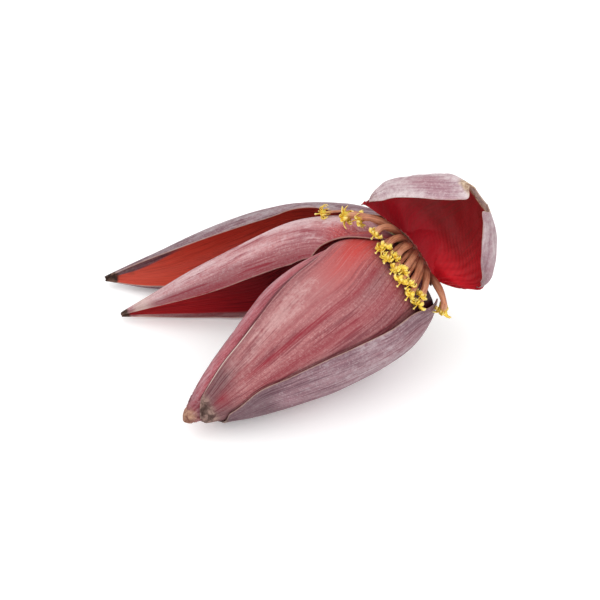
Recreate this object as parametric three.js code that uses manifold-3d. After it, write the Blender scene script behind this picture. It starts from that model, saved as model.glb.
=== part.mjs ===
// A banana blossom, cut and lying on its side: a closed purple bud on a short cut
// stalk, three bracts that have lifted away from it, and the hands of small tubular
// flowers that grew in their axils.
//
// Millimetres, +Z up.  The origin is under the middle of the object, on the surface
// that it lies on.  Along the bud, a place is given by three numbers: t, the share of
// the way from the broad end to the point; phi, the angle about the bud's line in
// degrees, 0 on the side turned up and forward and 90 on its right; and the radius.
import * as THREE from 'three';
import { mergeVertices } from 'three/addons/utils/BufferGeometryUtils.js';
import Module from 'manifold-3d';

const wasm = await Module();
wasm.setup();

const RAD = Math.PI / 180;
const { clamp, lerp, smoothstep } = THREE.MathUtils;
const V = (x, y, z) => new THREE.Vector3(x, y, z);

// ---- driving dimensions ----------------------------------------------------------

const BUD_BASE = V(89.6, 1.6, 77.3); // middle of the broad end
const BUD_TIP = V(-74.6, -112.2, 15.3); // the point
const FACING = V(0, -0.788, 0.616); // the way that the opened side looks
// How far the bud's line bows to its right, and the radius of the packed heart, at
// even steps from the broad end to the point.
const BUD_BOW = [0, 3, 4, 3, 1.2, 0.2, 0, 0, -0.6, -1.3, 0];
const BUD_OUTLINE = [16, 31, 39.5, 42.5, 42.6, 40.2, 34.3, 27.3, 19.7, 10.2, 0];
// The heavy belly sags toward the surface that it lies on: t where the sag starts and
// ends, and the angle that it is deepest at and how far that spreads.
const SAG = { depth: 6, from: 0.08, to: 0.6, phi: 146, spread: 62 };

const SHEET = 1.8; // thickness of a bract
const GAP = 0.8; // between two layers of bracts
const EDGE_THINNING = 0.45; // share of the thickness lost at a bract's margins
const POINT_THINNING = 0.3; // and at its point
const ENDS_FINER = 0.08; // crowds the rows of a bract's mesh toward its two ends

const STALK = { from: -0.16, to: 0.045, radius: 24, cut: 20.5, length: 0.16 };
const ROOTED = 26.1; // radius of the outside of a lifted bract where it joins the stalk
const STALK_REACH = -0.165; // t past which nothing has to keep clear of the stalk

// The closed bracts.  left and right are the angles of the two margins, at even steps
// from one end of the bract to the other.  The base flares away from the bud by most
// millimetres times a share, which goes from before to after between two angles.
const TOP_BRACT = {
  from: 0.05,
  to: 0.95,
  layer: 2,
  left: [-95, -80, -61, -53.5, -48, -44.3, -37.7, -15],
  right: [80, 80, 80, 80, 80, 85, 95, 110],
  flare: { most: 12, from: 30, to: 75, before: 0, after: 1 },
  rounded: 0.1,
};
const RIGHT_BRACT = {
  from: 0.035,
  to: 0.89,
  layer: 3,
  left: [64, 39, 36.4, 34, 30.5, 29, 28.5, 55],
  right: [208, 222, 236, 238, 235, 230, 225, 200],
  flare: { most: 12, from: 100, to: 190, before: 1, after: 0.2 },
  rounded: 0.1,
};
const FLARE_REACH = 0.45; // t where a flared base meets the bud again
const BLUNT = 0.25; // width left at a bract's end, as a share of its width

// The lifted side bracts are long boats.  Their sections are arcs about a centre line:
// low and high are where an arc starts and ends, in degrees from the keel, and opens is
// the way that the boat opens.
const NEAR_BRACT = {
  line: [V(82.1, -3.6, 74.4), V(52.5, 15.5, 60.5), V(12.5, 39.5, 45), V(-27.5, 34, 30),
    V(-71.5, 29.3, 19), V(-130.2, 22, 5.3)],
  radii: [26.1, 36, 31.2, 29, 19.4, 2.6],
  opens: [V(0.585, -0.5, -0.64), V(0.45, -0.8, -0.4), V(0.1, -0.97, -0.24),
    V(0, -0.97, -0.24), V(0, -0.97, -0.3), V(0, -0.95, -0.4)],
  low: [-60, -85, -120, -128, -125, -120],
  high: [150, 92, 130, 127, 130, 124],
  root: { t: 0.036, from: -140, to: -40 },
  layer: 3.1,
};
const FAR_BRACT = {
  line: [V(98.7, 6.5, 80), V(44.5, 38.5, 57), V(3.5, 82, 35.5), V(-36.5, 82.5, 25.5),
    V(-96.5, 66.5, 16.5), V(-146.3, 65.4, 7.3)],
  radii: [26.1, 34, 27.2, 24.4, 16.2, 2.6],
  opens: [V(0.528, -0.838, 0.133), V(0.3, -0.85, 0.4), V(0.1, -0.84, 0.54),
    V(0, -0.84, 0.54), V(0, -0.84, 0.54), V(0, -0.9, 0.4)],
  low: [-60, -62, -80, -114, -125, -120],
  high: [60, 108, 132, 133, 128, 120],
  root: { t: -0.07, from: -205, to: -105 },
  layer: 4.2,
};
const ROOT_BLEND = 0.2; // share of a side bract that turns from the stalk to the boat

// The hood is a bract bent right back: a deep bowl whose margins curl in.  It has axes
// of its own: forth along the bowl, across it, and out of its mouth.
const HOOD = {
  at: V(92.9, 4.8, 79.4),
  out: V(-0.0625, -0.8016, 0.5946),
  length: 60.5,
  leftWidth: [50, 51, 51, 46, 40.3, 33.5, 25, 7],
  rightWidth: [46, 48, 50.5, 48.5, 43, 35.5, 25, 7],
  sidesMeet: 0.6, // v on either side of the middle between which the two widths blend
  depth: [0.2, 0.3, 0.45, 0.62, 0.7, 0.72, 0.8, 1], // of the bowl, as a share of its width
  height: [26, 34, 42, 47, 50, 54, 60, 66], // of the centre line, out of the bowl
  low: [-112, -124, -134, -143, -153, -162, -164, -105],
  high: [90, 106, 133, 144, 150.5, 156, 161, 105],
  // the line where the bract was rooted, as [across, forth, out]
  base: [V(-50.5, -12, -4), V(-46.4, -8.6, 4), V(-22, -1, 14.5), V(0, 2, 25.5),
    V(22, -1, 14.5), V(40, 9, 17), V(47.3, 20.5, 24)],
  blend: 0.16, // share of the bowl that turns from that line to the bowl
  clear: 24.95, // radius that it keeps from the stalk's line
  skew: 1.5, // how far the bowl runs off to its right
  tipAside: -3.7, // and its tip back to its left
  forthPower: 1.15,
  basePower: 1.5,
};

// Flowers, each as [phi at its root, t at its end, phi there, radius there, arch].
const HOOD_HAND = {
  t: 0.0175,
  from: -51,
  to: 66,
  upper: [[-50, 0.13, -84, 55.4, 0], [-46, 0.105, -73, 49.4, 2], [-38, 0.125, -40, 47.5, 6],
    [-26, 0.13, -23, 47, 4], [-14, 0.13, -11, 47, 3], [-2, 0.135, 2, 47, 2],
    [10, 0.142, 15, 47.5, 2], [23, 0.125, 31, 46.5, 2], [38, 0.06, 66, 48, 4]],
  lower: [[-32, 0.15, -27, 45.7, 1], [-20, 0.155, -15, 46, 1], [-8, 0.16, -4, 46, 1],
    [4, 0.165, 9, 46.4, 1], [17, 0.165, 23, 46.4, 1], [30, 0.15, 37, 45.7, 1]],
};
// The far bract's flowers lie along the back of the near one, each as [phi at its root,
// how far along that bract it ends, and where across it, from -1 to 1, it starts and ends].
const FAR_HAND = {
  t: -0.0465,
  from: -158,
  to: -104,
  flowers: [[-106, 0.33, 0, 0.4], [-121, 0.27, -0.42, -0.3], [-132, 0.27, -0.55, -0.5],
    [-142, 0.25, -0.65, -0.6], [-151, 0.2, -0.74, -0.74]],
  start: 0.1,
  lift: 3.8,
};
const UPPER_FLOWER = { radius: 2.6, root: 27 };
const LOWER_FLOWER = { radius: 2.3, root: 25.5 };
const FLOWER_OUTLINE = [0.9, 1, 0.95, 0.85, 0.9, 1.25, 0.7]; // radius along a flower
const FLOWER_RISE = 0.8; // below 1, a flower leaves the stalk steeply
const FLOWER_TURN = 1.3; // above 1, it turns sideways late
const CUSHION = { radius: 27.4, high: 3.1, wide: 2.2, ends: 0.4 };

// ---- curves and solids -----------------------------------------------------------

/** A uniform Catmull-Rom curve through evenly spaced numbers, at u from 0 to 1. */
function along(values, u) {
  const last = values.length - 1;
  const i = Math.min(Math.floor(u * last), last - 1);
  const f = u * last - i;
  const b = values[i];
  const c = values[i + 1];
  const a = i > 0 ? values[i - 1] : 2 * b - c;
  const d = i + 2 <= last ? values[i + 2] : 2 * c - b;
  const square = (2 * a - 5 * b + 4 * c - d) * f * f;
  const cube = (3 * b - a - 3 * c + d) * f ** 3;
  return (2 * b + (c - a) * f + square + cube) / 2;
}

/** The same curve through points. */
function pointAlong(points, u) {
  const part = (axis) => along(points.map((p) => p[axis]), u);
  return V(part('x'), part('y'), part('z'));
}

/** The component of a vector across a unit vector, made unit length. */
function acrossFrom(vector, unit) {
  return vector.clone().addScaledVector(unit, -vector.dot(unit)).normalize();
}

/** A closed geometry from points and triangles, with its faces turned outward. */
function closedGeometry(points, triangles) {
  const volume = triangles.reduce((sum, [a, b, c]) => {
    const normal = points[b].clone().cross(points[c]);
    return sum + points[a].dot(normal);
  }, 0);
  const turned = volume > 0 ? triangles : triangles.map(([a, b, c]) => [a, c, b]);
  const geometry = new THREE.BufferGeometry();
  const position = new THREE.Float32BufferAttribute(points.flatMap((p) => p.toArray()), 3);
  geometry.setAttribute('position', position);
  geometry.setIndex(turned.flat());
  return geometry;
}

/** A closed solid through rings of points, with a fan over each end. */
function loft(rings) {
  const sides = rings[0].length;
  const points = rings.flat();
  const triangles = [];
  for (let i = 0; i < rings.length - 1; i += 1) {
    for (let j = 0; j < sides; j += 1) {
      const a = i * sides + j;
      const b = i * sides + ((j + 1) % sides);
      triangles.push([a, b, b + sides], [a, b + sides, a + sides]);
    }
  }
  for (const i of [0, rings.length - 1]) {
    const middle = rings[i].reduce((sum, p) => sum.add(p), V(0, 0, 0)).divideScalar(sides);
    points.push(middle);
    for (let j = 0; j < sides; j += 1) {
      const rim = [i * sides + j, i * sides + ((j + 1) % sides)];
      triangles.push([...(i === 0 ? rim.reverse() : rim), points.length - 1]);
    }
  }
  return closedGeometry(points, triangles);
}

/**
 * A bract: a sheet with an outer face and an inner one.  face(u, v, depth) gives the
 * point at a depth under the outer face, for u from root to point and v from -1 to 1
 * across.  Both faces are split into triangles alike.  What would hang below the
 * surface that the blossom lies on is flattened against it.
 */
function sheet(face, { rows, columns }) {
  const points = [];
  for (const side of [0, 1]) {
    for (let i = 0; i <= rows; i += 1) {
      for (let j = 0; j <= columns; j += 1) {
        const u = i / rows - ENDS_FINER * Math.sin(2 * Math.PI * i / rows);
        const v = 2 * (j / columns) - 1;
        const thickness = SHEET * (1 - EDGE_THINNING * v ** 4) * (1 - POINT_THINNING * u ** 2);
        const point = face(u, v, side * thickness);
        point.z = Math.max(point.z, side * thickness);
        points.push(point);
      }
    }
  }
  const width = columns + 1;
  const inner = (rows + 1) * width;
  const triangles = [];
  for (let i = 0; i < rows; i += 1) {
    for (let j = 0; j < columns; j += 1) {
      const a = i * width + j;
      const c = a + width;
      triangles.push([a, a + 1, c + 1], [a, c + 1, c]);
      triangles.push([a + inner, c + 1 + inner, a + 1 + inner], [a + inner, c + inner, c + 1 + inner]);
    }
  }
  const rim = [];
  for (let j = 0; j < columns; j += 1) rim.push(j);
  for (let i = 0; i < rows; i += 1) rim.push(i * width + columns);
  for (let j = columns; j > 0; j -= 1) rim.push(rows * width + j);
  for (let i = rows; i > 0; i -= 1) rim.push(i * width);
  rim.forEach((a, k) => {
    const b = rim[(k + 1) % rim.length];
    triangles.push([b, a, a + inner], [b, a + inner, b + inner]);
  });
  return closedGeometry(points, triangles);
}

/** Joins closed geometries that overlap into one solid. */
function joined(geometries) {
  const solids = geometries.map((geometry) => {
    const merged = mergeVertices(geometry);
    const vertProperties = merged.attributes.position.array;
    const triVerts = Uint32Array.from(merged.index.array);
    return new wasm.Manifold(new wasm.Mesh({ numProp: 3, vertProperties, triVerts }));
  });
  const mesh = solids.reduce((sum, solid) => sum.add(solid)).getMesh();
  const geometry = new THREE.BufferGeometry();
  geometry.setAttribute('position', new THREE.Float32BufferAttribute(mesh.vertProperties, 3));
  geometry.setIndex([...mesh.triVerts]);
  return geometry;
}

// ---- the bud's line --------------------------------------------------------------

const budLine = BUD_TIP.clone().sub(BUD_BASE);
const budLength = budLine.length();
const forward = budLine.clone().normalize();
const front = acrossFrom(FACING, forward);
const right = front.clone().cross(forward);

/** How far the bud's line is bowed at t. */
function bow(t) {
  return along(BUD_BOW, clamp(t, 0, 1));
}

/** The unit vector away from the bud's line at an angle. */
function outward(phi) {
  const sideways = right.clone().multiplyScalar(Math.sin(phi * RAD));
  return sideways.addScaledVector(front, Math.cos(phi * RAD));
}

function budPoint(t, phi, radius) {
  const centre = BUD_BASE.clone().addScaledVector(budLine, t).addScaledVector(right, bow(t));
  return centre.addScaledVector(outward(phi), radius);
}

/** The radius of the outside of a layer of bracts, counted from the heart. */
function layerRadius(t, layer) {
  return along(BUD_OUTLINE, clamp(t, 0, 1)) + layer * (SHEET + GAP);
}

/** How far the belly sags at a place. */
function sag(t, phi) {
  const aside = Math.abs(phi - SAG.phi) / SAG.spread;
  const lengthwise = (t - SAG.from) / (SAG.to - SAG.from);
  if (aside > 1 || lengthwise < 0 || lengthwise > 1) return 0;
  return SAG.depth * (Math.sin(Math.PI * lengthwise) * Math.cos(Math.PI / 2 * aside)) ** 2;
}

/** A point of a layer of bracts, raised from it by some distance. */
function layerPoint(t, phi, layer, raised) {
  return budPoint(t, phi, layerRadius(t, layer) + sag(t, phi) + raised);
}

/** Pushes a point straight out until it is clear of the stalk and of the bud's layers. */
function pushedClear(point, layer, stalk) {
  const from = point.clone().sub(BUD_BASE);
  const t = from.dot(forward) / budLength;
  if (t < STALK_REACH || t > 1) return point;
  const away = from.addScaledVector(forward, -t * budLength).addScaledVector(right, -bow(t));
  const radius = away.length();
  const least = layer > 0 ? Math.max(layerRadius(t, layer), stalk) : stalk;
  return point.addScaledVector(away.normalize(), Math.max(least - radius, 0));
}

// ---- pieces ----------------------------------------------------------------------

/** The stalk, from its cut end to where the bracts start, with its old bract scars. */
function stalk() {
  const rows = 12;
  const sides = 24;
  const scars = [3, 6];
  const scar = 0.7;
  const rings = [];
  for (let i = 0; i <= rows; i += 1) {
    const t = lerp(STALK.from, STALK.to, i / rows);
    const thinner = (STALK.radius - STALK.cut) * smoothstep(-t, 0, STALK.length);
    const radius = STALK.radius - thinner + (scars.includes(i) ? scar : 0);
    rings.push(Array.from({ length: sides }, (_, j) => budPoint(t, 360 * j / sides, radius)));
  }
  return loft(rings);
}

/** The packed inner bracts: the heart that forms the bud's point. */
function innerBud() {
  const rows = 22;
  const sides = 26;
  const from = 0.05;
  const rings = [];
  for (let i = 0; i <= rows; i += 1) {
    const t = lerp(from, 1, (i / rows) ** 1.1);
    rings.push(Array.from({ length: sides }, (_, j) => layerPoint(t, 360 * j / sides, 1, 0)));
  }
  return loft(rings);
}

/** A bract that still lies closed on the bud. */
function closedBract({ from, to, layer, left, right: other, flare, rounded }) {
  return (u, v, depth) => {
    const t = lerp(from, to, u);
    const end = Math.max((u - 1 + rounded) / rounded, 0);
    const narrowing = Math.max(Math.sqrt(1 - end ** 2), BLUNT);
    const start = along(left, u);
    const stop = along(other, u);
    const phi = (start + stop) / 2 + ((stop - start) / 2) * narrowing * v;
    const around = lerp(flare.before, flare.after, smoothstep(phi, flare.from, flare.to));
    const open = flare.most * Math.max(1 - t / FLARE_REACH, 0) ** 2 * around;
    return layerPoint(t, phi, layer, open - depth);
  };
}

/** The same surface with a depth under it, measured square to it toward its hollow. */
function withDepth(surface, hollow) {
  const step = 0.01;
  const normal = (u, v) => {
    const lengthwise = surface(Math.min(u + step, 1), v).sub(surface(Math.max(u - step, 0), v));
    const crosswise = surface(u, Math.min(v + step, 1)).sub(surface(u, Math.max(v - step, -1)));
    return lengthwise.cross(crosswise).normalize();
  };
  const sign = Math.sign(normal(0.5, 0).dot(hollow.clone().sub(surface(0.5, 0))));
  return (u, v, depth) => surface(u, v).addScaledVector(normal(u, v), sign * depth);
}

/** A side bract that has lifted away from the bud. */
function boatBract({ line, radii, opens, low, high, root, layer }) {
  const surface = (u, v) => {
    const step = 0.01;
    const before = pointAlong(line, Math.max(u - step, 0));
    const lengthwise = pointAlong(line, Math.min(u + step, 1)).sub(before).normalize();
    const mouth = acrossFrom(pointAlong(opens, u), lengthwise);
    const sideways = lengthwise.clone().cross(mouth);
    const angle = lerp(along(low, u), along(high, u), (v + 1) / 2) * RAD;
    const radius = along(radii, u);
    const point = pointAlong(line, u)
      .addScaledVector(mouth, -radius * Math.cos(angle))
      .addScaledVector(sideways, radius * Math.sin(angle));
    const rooted = budPoint(root.t, lerp(root.from, root.to, (v + 1) / 2), ROOTED);
    return pushedClear(rooted.lerp(point, smoothstep(u, 0, ROOT_BLEND)), layer, ROOTED);
  };
  return withDepth(surface, pointAlong(line, 0.5));
}

/** The bract that is bent right back. */
function hoodBract() {
  const out = HOOD.out.clone().normalize();
  const forth = out.clone().cross(right).normalize();
  const across = forth.clone().cross(out);
  const place = (s, d, z) => HOOD.at.clone()
    .addScaledVector(across, s).addScaledVector(forth, d).addScaledVector(out, z);
  const surface = (u, v) => {
    const sides = [along(HOOD.leftWidth, u), along(HOOD.rightWidth, u)];
    const width = lerp(...sides, smoothstep(v, -HOOD.sidesMeet, HOOD.sidesMeet));
    const curl = (v < 0 ? -along(HOOD.low, u) : along(HOOD.high, u)) * v * RAD;
    const root = pointAlong(HOOD.base, (v + 1) / 2);
    const d = HOOD.length * (1 - (1 - u) ** HOOD.forthPower) + root.y * (1 - u) ** HOOD.basePower;
    const s = width * Math.sin(curl) + HOOD.skew * (u - 1) + HOOD.tipAside * u ** 4;
    const z = along(HOOD.height, u) - along(HOOD.depth, u) * width * Math.cos(curl);
    const blend = smoothstep(u, 0, HOOD.blend);
    return pushedClear(place(lerp(root.x, s, blend), d, lerp(root.z, z, blend)), 0, HOOD.clear);
  };
  return withDepth(surface, place(0, HOOD.length / 2, along(HOOD.height, 0.5)));
}

/** The path of a flower that rises from the stalk and lies along the bud. */
function budPath([phi0, t1, phi1, radius1, arch], t0, root) {
  return (u) => {
    const rise = Math.sin(u * Math.PI / 2) ** FLOWER_RISE;
    const away = lerp(root, radius1, rise) + arch * Math.sin(Math.PI * u);
    return budPoint(lerp(t0, t1, u), lerp(phi0, phi1, u ** FLOWER_TURN), away);
  };
}

/** The path of a flower that rises from the stalk and lies along the near bract's back. */
function backPath([phi0, end, from, to], near) {
  const root = budPoint(FAR_HAND.t, phi0, UPPER_FLOWER.root);
  return (u) => {
    const back = near(lerp(FAR_HAND.start, end, u), lerp(from, to, u), -FAR_HAND.lift);
    return root.clone().lerp(back, smoothstep(u, 0, 0.5));
  };
}

/** One tubular flower along a path. */
function flower(path, radius) {
  const rows = 7;
  const sides = 6;
  const step = 0.02;
  const rings = [];
  let sideways = right;
  for (let i = 0; i <= rows; i += 1) {
    const u = i / rows;
    const lengthwise = path(Math.min(u + step, 1)).sub(path(Math.max(u - step, 0))).normalize();
    sideways = acrossFrom(sideways, lengthwise);
    const upward = lengthwise.clone().cross(sideways);
    const wide = radius * along(FLOWER_OUTLINE, u);
    const corner = (j) => path(u)
      .addScaledVector(sideways, wide * Math.cos(2 * Math.PI * j / sides))
      .addScaledVector(upward, wide * Math.sin(2 * Math.PI * j / sides));
    rings.push(Array.from({ length: sides }, (_, j) => corner(j)));
  }
  return loft(rings);
}

/** The curved cushion on the stalk that a hand of flowers grows from. */
function cushion({ t, from, to }) {
  const steps = 14;
  const sides = 8;
  const rings = [];
  for (let i = 0; i <= steps; i += 1) {
    const u = i / steps;
    const size = lerp(CUSHION.ends, 1, Math.sqrt(Math.sin(Math.PI * u)));
    const corner = (j) => {
      const angle = 2 * Math.PI * (j + 0.5) / sides;
      const shift = CUSHION.wide * size * Math.sin(angle) / budLength;
      const rise = CUSHION.high * size * Math.cos(angle);
      return budPoint(t + shift, lerp(from, to, u), CUSHION.radius + rise);
    };
    rings.push(Array.from({ length: sides }, (_, j) => corner(j)));
  }
  return loft(rings);
}

/** The hand in the hood's axil: two rows of flowers that lie over the bud's broad end. */
function hoodHand() {
  const row = (places, { radius, root }) => places
    .map((place) => flower(budPath(place, HOOD_HAND.t, root), radius));
  return joined([
    cushion(HOOD_HAND),
    ...row(HOOD_HAND.lower, LOWER_FLOWER),
    ...row(HOOD_HAND.upper, UPPER_FLOWER),
  ]);
}

/** The hand in the far bract's axil, nearly all of it hidden by the near bract. */
function farHand() {
  const near = boatBract(NEAR_BRACT);
  const flowers = FAR_HAND.flowers
    .map((place) => flower(backPath(place, near), LOWER_FLOWER.radius));
  return joined([cushion(FAR_HAND), ...flowers]);
}

// ---- the blossom -----------------------------------------------------------------

const blossom = new THREE.Group();

function add(name, geometry, color, roughness) {
  const material = new THREE.MeshStandardMaterial({ color, roughness, metalness: 0 });
  const mesh = new THREE.Mesh(geometry, material);
  mesh.name = name;
  blossom.add(mesh);
}

add('stalk', stalk(), 0xb9b283, 0.7);
add('inner_bud', innerBud(), 0x9a5a5c, 0.55);
add('bract_top', sheet(closedBract(TOP_BRACT), { rows: 24, columns: 12 }), 0xa8626a, 0.5);
add('bract_right', sheet(closedBract(RIGHT_BRACT), { rows: 24, columns: 12 }), 0x80606c, 0.55);
add('bract_side_near', sheet(boatBract(NEAR_BRACT), { rows: 26, columns: 12 }), 0xae7880, 0.5);
add('bract_side_far', sheet(boatBract(FAR_BRACT), { rows: 26, columns: 12 }), 0x8f7a88, 0.55);
add('bract_hood', sheet(hoodBract(), { rows: 18, columns: 18 }), 0xa08c98, 0.55);
add('flowers_hood', hoodHand(), 0xc08a5c, 0.6);
add('flowers_far', farHand(), 0xc08a5c, 0.6);

export default blossom;
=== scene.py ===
"""The looks of a banana blossom, cut and lying on its side, around its CAD frame.

Lengths are in millimetres until a mesh is made, and angles are in degrees.  A place on
the bud is given by t, the share of the way from the broad end to the point; phi, the
angle about the bud's line, 0 on the side turned up and forward and 90 on its right; and
a radius.  On a bract, u runs from its root to its point and v from -1 to 1 across it.
"""
from functools import partial

import bpy
import numpy as np
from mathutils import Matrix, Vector


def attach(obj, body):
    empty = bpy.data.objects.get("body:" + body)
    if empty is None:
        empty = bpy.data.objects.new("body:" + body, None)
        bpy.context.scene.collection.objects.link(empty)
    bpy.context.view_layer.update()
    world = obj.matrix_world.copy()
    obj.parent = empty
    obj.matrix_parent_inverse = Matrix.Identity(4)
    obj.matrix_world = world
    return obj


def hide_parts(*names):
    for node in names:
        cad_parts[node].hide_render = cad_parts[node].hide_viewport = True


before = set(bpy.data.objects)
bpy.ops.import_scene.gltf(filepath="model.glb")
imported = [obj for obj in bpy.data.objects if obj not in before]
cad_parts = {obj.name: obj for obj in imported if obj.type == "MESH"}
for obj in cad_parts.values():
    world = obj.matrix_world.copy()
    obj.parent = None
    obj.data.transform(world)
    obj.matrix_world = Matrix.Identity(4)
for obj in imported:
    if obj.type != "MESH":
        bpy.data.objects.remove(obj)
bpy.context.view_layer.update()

MM = 0.001
FIBRE_UNIT = 100.0  # millimetres for each unit of the "fibre" UV map
STEP = 0.01  # how far apart two places are taken to find a direction between them


def vec(*xyz):
    return np.array(xyz, float)


# ---- driving dimensions ------------------------------------------------------------

# Lists of numbers are read evenly spaced, from the base to the tip or from left to right.
BUD_BASE = vec(89.6, 1.6, 77.3)
BUD_TIP = vec(-74.6, -112.2, 15.3)
FACING = vec(0, -0.788, 0.616)  # the way that phi 0 turns
BUD_BOW = [0, 3, 4, 3, 1.2, 0.2, 0, 0, -0.6, -1.3, 0]
BUD_OUTLINE = [16, 31, 39.5, 42.5, 42.6, 40.2, 34.3, 27.3, 19.7, 10.2, 0]
SAG = {"depth": 6, "from": 0.08, "to": 0.6, "phi": 146, "spread": 62}

SHEET = 1.8  # a bract's thickness
GAP = 0.8  # between two layers of bracts
EDGE_THINNING = 0.45
POINT_THINNING = 0.3

STALK = {"from": -0.16, "to": 0.045, "radius": 24, "cut": 20.5, "length": 0.16, "dish": 1.2,
         "scars": [-0.109, -0.058], "scar_width": 0.004, "scar_height": 0.7}
STALK_REACH = -0.165  # the t that the stalk ends before
ROOTED = 26.1  # how far from the bud's line the lifted bracts are rooted
HEART = {"from": 0.05, "to": 0.998, "round_from": 0.985, "round_to": 1.002, "step": 0.7,
         "step_at": 215, "step_slant": 60}

# Flare: [its height, the phi between which it changes, its share before and after].
FLARE_REACH = 0.45
TOP_BRACT = {
    "from": 0.05, "to": 0.95, "layer": 2, "flare": [12, 30, 75, 0, 1], "rounded": 0.05,
    "blunt": 0.12,
    "left": [-95, -80, -61, -53.5, -48, -44.3, -37.7, -15],
    "right": [80, 80, 80, 80, 80, 85, 95, 110],
}
RIGHT_BRACT = {
    "from": 0.035, "to": 0.89, "layer": 3, "flare": [12, 100, 190, 1, 0.2], "rounded": 0.03,
    "blunt": 0.12,
    "left": [64, 39, 36.4, 34, 30.5, 29, 28.5, 55],
    "right": [208, 222, 236, 238, 235, 230, 225, 200],
}
NEAR_BRACT = {
    "line": [(82.1, -3.6, 74.4), (52.5, 15.5, 60.5), (12.5, 39.5, 45), (-27.5, 34, 30),
             (-71.5, 29.3, 19), (-130.2, 22, 5.3)],
    "radii": [26.1, 36, 31.2, 29, 19.4, 1.7],
    "opens": [(0.585, -0.5, -0.64), (0.45, -0.8, -0.4), (0.1, -0.97, -0.24),
              (0, -0.97, -0.24), (0, -0.97, -0.3), (0, -0.95, -0.4)],
    "low": [-60, -85, -120, -128, -125, -120],
    "high": [150, 92, 130, 127, 130, 124],
    "root": {"t": 0.036, "from": -140, "to": -40},
    "layer": 3.1,
}
FAR_BRACT = {
    "line": [(98.7, 6.5, 80), (44.5, 38.5, 57), (3.5, 82, 35.5), (-36.5, 82.5, 25.5),
             (-96.5, 66.5, 16.5), (-146.3, 65.4, 7.3)],
    "radii": [26.1, 34, 27.2, 24.4, 16.2, 1.7],
    "opens": [(0.528, -0.838, 0.133), (0.3, -0.85, 0.4), (0.1, -0.84, 0.54),
              (0, -0.84, 0.54), (0, -0.84, 0.54), (0, -0.9, 0.4)],
    "low": [-60, -62, -80, -114, -125, -120],
    "high": [60, 108, 132, 133, 128, 120],
    "root": {"t": -0.07, "from": -205, "to": -105},
    "layer": 4.2,
}
ROOT_BLEND = 0.2  # the share of a lifted bract's length over which its root turns
HOOD = {
    "at": vec(92.9, 4.8, 79.4), "out": vec(-0.0625, -0.8016, 0.5946), "length": 60.5,
    "left_width": [50, 51, 51, 46, 40.3, 33.5, 25, 7],
    "right_width": [46, 48, 50.5, 48.5, 43, 35.5, 25, 7], "sides_meet": 0.6,
    "depth": [0.2, 0.3, 0.45, 0.62, 0.7, 0.72, 0.8, 1],
    "height": [26, 34, 42, 47, 50, 54, 60, 66],
    "low": [-112, -124, -134, -143, -153, -162, -164, -105],
    "high": [90, 106, 133, 144, 150.5, 156, 161, 105],
    "base": [(-50.5, -12, -4), (-46.4, -8.6, 4), (-22, -1, 14.5), (0, 2, 25.5), (22, -1, 14.5),
             (40, 9, 17), (47.3, 20.5, 24)],
    "blend": 0.16, "clear": 24.95, "skew": 1.5, "forth_power": 1.15, "base_power": 1.5,
    "tip_aside": -3.7, "hollow": 47, "hollow_rise": 10,
}
HOOD_FOLDS = {"count": 26, "height": 0.3, "wrinkles": 21, "depth": 0.32}

# Flowers: [phi at the root, t at the end, phi there, radius there, arch, style's length].
# Their tips keep clear of the bud's layers up to "clear".
HOOD_HAND = {
    "t": 0.0175, "from": -51, "to": 66, "clear": 2.4,
    "upper": [[-50, 0.13, -84, 55.4, 0, 3], [-46, 0.105, -73, 49.4, 2, 8],
              [-38, 0.125, -40, 47.5, 6, 3], [-26, 0.13, -23, 47, 4, 3],
              [-14, 0.13, -11, 47, 3, 3], [-2, 0.135, 2, 47, 2, 3],
              [10, 0.142, 15, 47.5, 2, 4], [23, 0.125, 31, 46.5, 2, 3],
              [38, 0.06, 66, 48, 4, 4]],
    "lower": [[-32, 0.15, -27, 45.7, 1, 3], [-20, 0.155, -15, 46, 1, 3],
              [-8, 0.16, -4, 46, 1, 3], [4, 0.165, 9, 46.4, 1, 3],
              [17, 0.165, 23, 46.4, 1, 3], [30, 0.15, 37, 45.7, 1, 3]],
}
# Flowers over the near bract's back: [phi at the root, u at the end, v at both ends].
FAR_HAND = {
    "t": -0.0465, "from": -158, "to": -104, "clear": 4.2, "start": 0.1, "lift": 3.8,
    "radii": [1.0, 2.3, 2.3, 2.3, 2.3], "style": 1.3,
    "flowers": [[-106, 0.33, 0, 0.4], [-121, 0.27, -0.42, -0.3],
                [-132, 0.27, -0.55, -0.5], [-142, 0.25, -0.65, -0.6],
                [-151, 0.2, -0.74, -0.74]],
}
UPPER_FLOWER = {"radius": 2.6, "root": 27}
LOWER_FLOWER = {"radius": 2.3, "root": 25.5}
TUBE = {"outline": [0.8, 1, 1.05, 0.95, 0.88, 0.95, 0.8], "rise": 0.8, "turn": 1.3,
        "mouth": 0.88, "ribs": 5, "rib_height": 0.06, "bumps": (7, 12), "bump_height": 0.05,
        "shade": (0, 0.45)}
LOBE = {"count": 12, "thick": 0.5, "cupped": 0.8, "frill": 0.2, "frills": 9,
        "aside": (-0.25, 0.25), "start": (0.1, 0.55), "past_mouth": 0.9, "length": (0.9, 1.6),
        "curl": (2.2, 5.0), "width": (0.5, 0.95), "twist": (-1.6, 1.6)}
STYLE = {"radius": 0.42, "knob": 0.55, "knob_at": 0.9, "knob_length": 0.07, "blunt": 0.3,
         "sway": 0.25}
CUSHION = {"radius": 27.4, "high": 3.1, "wide": 2.2, "ends": 0.4, "lumps": 9,
           "lump_height": 0.12}

# How finely the meshes are cut: rows along a piece, and points across or round it.
BRACT_GRID = (120, 260)
HOOD_GRID = (150, 300)
HEART_GRID = (130, 240)
STALK_GRID = (60, 160)
CUT_ROWS = 16
TUBE_GRID = (30, 20)
LOBE_GRID = (8, 6)
STYLE_GRID = (16, 7)
CUSHION_GRID = (48, 20)
RELIEF_FADE = 3  # millimetres from a margin over which ribs and folds fade in


# ---- curves ------------------------------------------------------------------------

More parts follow.
